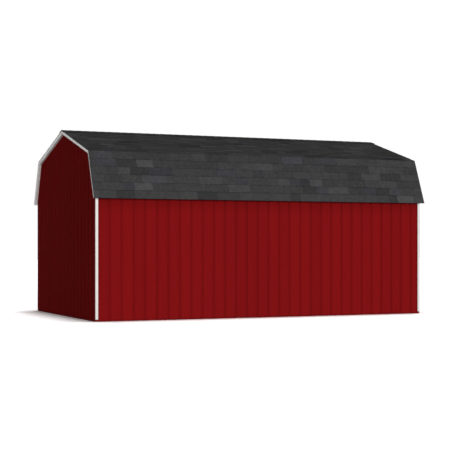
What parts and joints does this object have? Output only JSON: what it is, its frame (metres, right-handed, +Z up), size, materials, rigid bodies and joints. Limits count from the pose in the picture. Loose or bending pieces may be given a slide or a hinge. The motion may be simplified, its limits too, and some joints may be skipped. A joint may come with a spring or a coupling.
{
  "type": "barn shed",
  "caption": "Gambrel-roofed wooden barn shed with grooved red siding, white corner and rake boards and dark asphalt shingles over a framed shell.",
  "frame": {"origin": "centre of the plan, on the ground under the sills", "axes": "+X along the ridge towards the right gable, +Y towards the back long wall, +Z up"},
  "size_m": [6.216, 3.7726, 3.2387],
  "materials": {
    "red_siding": "flat barn-red stain on grooved panel siding",
    "white_trim": "satin white paint on planed boards",
    "asphalt_shingle": "charcoal mineral granules on asphalt",
    "framing_lumber": "bare softwood",
    "treated_lumber": "pressure-treated softwood, stained dark red",
    "sheathing_plywood": "bare softwood plywood"
  },
  "bodies": {
    "root": {"back_eave_soffit": "white_trim", "back_knee_gussets": "sheathing_plywood", "back_left_corner_board": "white_trim", "back_lower_deck": "sheathing_plywood", "back_lower_rafters": "framing_lumber", "back_lower_shingles": "asphalt_shingle", "back_right_corner_board": "white_trim", "back_siding": "red_siding", "back_sill": "treated_lumber", "back_upper_deck": "sheathing_plywood", "back_upper_rafters": "framing_lumber", "back_upper_shingles": "asphalt_shingle", "back_wall_frame": "framing_lumber", "front_eave_soffit": "white_trim", "front_knee_gussets": "sheathing_plywood", "front_left_corner_board": "white_trim", "front_lower_deck": "sheathing_plywood", "front_lower_rafters": "framing_lumber", "front_lower_shingles": "asphalt_shingle", "front_right_corner_board": "white_trim", "front_siding": "red_siding", "front_sill": "treated_lumber", "front_upper_deck": "sheathing_plywood", "front_upper_rafters": "framing_lumber", "front_upper_shingles": "asphalt_shingle", "front_wall_frame": "framing_lumber", "left_back_lower_rake": "white_trim", "left_back_upper_rake": "white_trim", "left_front_lower_rake": "white_trim", "left_front_upper_rake": "white_trim", "left_gable_frame": "framing_lumber", "left_gable_siding": "red_siding", "left_sill": "treated_lumber", "ridge_cap": "asphalt_shingle", "ridge_gussets": "sheathing_plywood", "right_back_lower_rake": "white_trim", "right_back_upper_rake": "white_trim", "right_front_lower_rake": "white_trim", "right_front_upper_rake": "white_trim", "right_gable_frame": "framing_lumber", "right_gable_siding": "red_siding", "right_sill": "treated_lumber"}
  },
  "joints": []
}
